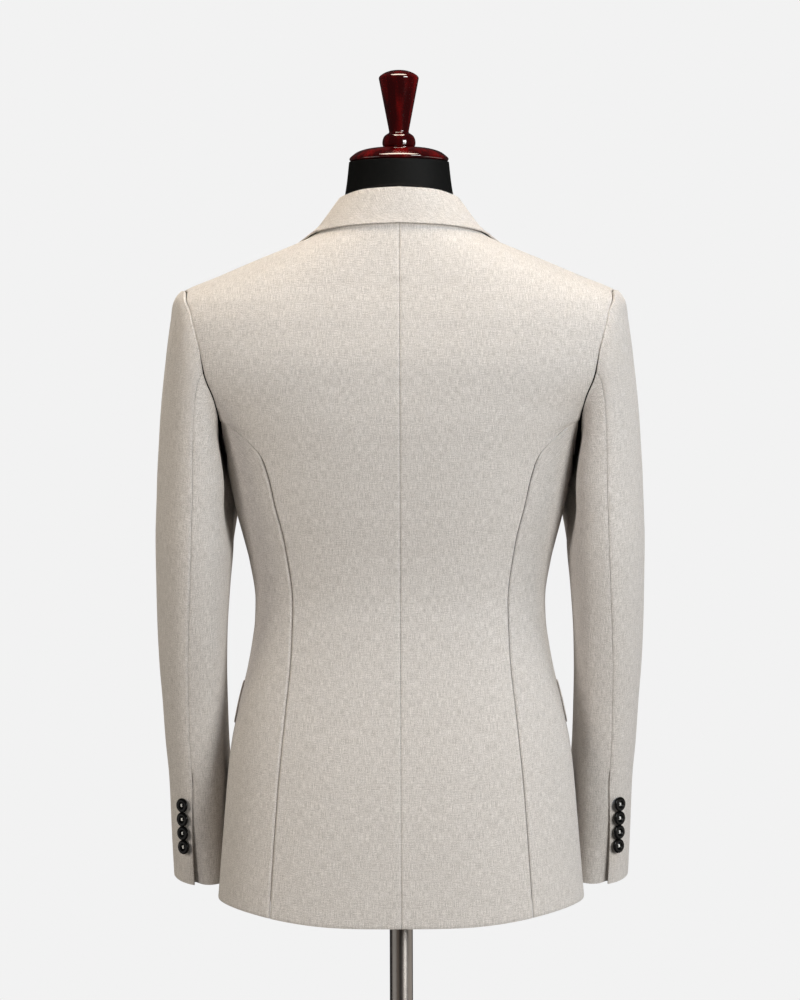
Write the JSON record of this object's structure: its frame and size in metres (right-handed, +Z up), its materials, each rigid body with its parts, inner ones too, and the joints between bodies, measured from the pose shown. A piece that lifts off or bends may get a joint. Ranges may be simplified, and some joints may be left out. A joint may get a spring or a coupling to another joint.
{
  "type": "tuxedo jacket on a limbless dress form",
  "caption": "Tailored single-breasted evening jacket with long two-piece sleeves, worn by a limbless padded dress form with a turned neck cap, on a pole with a round foot.",
  "frame": {"origin": "middle of the flat underside of the stand's round foot, on the floor", "axes": "+Z up; the jacket faces -Y and its back faces +Y; +X is the side of the wearer's left arm"},
  "size_m": [0.5236, 0.336, 1.6195],
  "materials": {
    "cloth": "matt, fine plain weave with slubs",
    "button": "polished",
    "form_cover": "matt, fine stretch jersey",
    "mahogany": "high-gloss lacquer",
    "chrome": "polished"
  },
  "bodies": {
    "root": {"back_left": "cloth", "side_left": "cloth", "front_left": "cloth", "lapel_left": "cloth", "pocket_flap_left": "cloth", "top_sleeve_left": "cloth", "under_sleeve_left": "cloth", "back_right": "cloth", "side_right": "cloth", "front_right": "cloth", "lapel_right": "cloth", "pocket_flap_right": "cloth", "top_sleeve_right": "cloth", "under_sleeve_right": "cloth", "collar": "cloth", "cuff_button_left_1": "button", "cuff_button_left_2": "button", "cuff_button_left_3": "button", "cuff_button_left_4": "button", "cuff_button_right_1": "button", "cuff_button_right_2": "button", "cuff_button_right_3": "button", "cuff_button_right_4": "button", "front_button": "button", "form": "form_cover", "neck_cap": "mahogany", "finial": "mahogany", "pole": "chrome", "base": "chrome"}
  },
  "joints": []
}
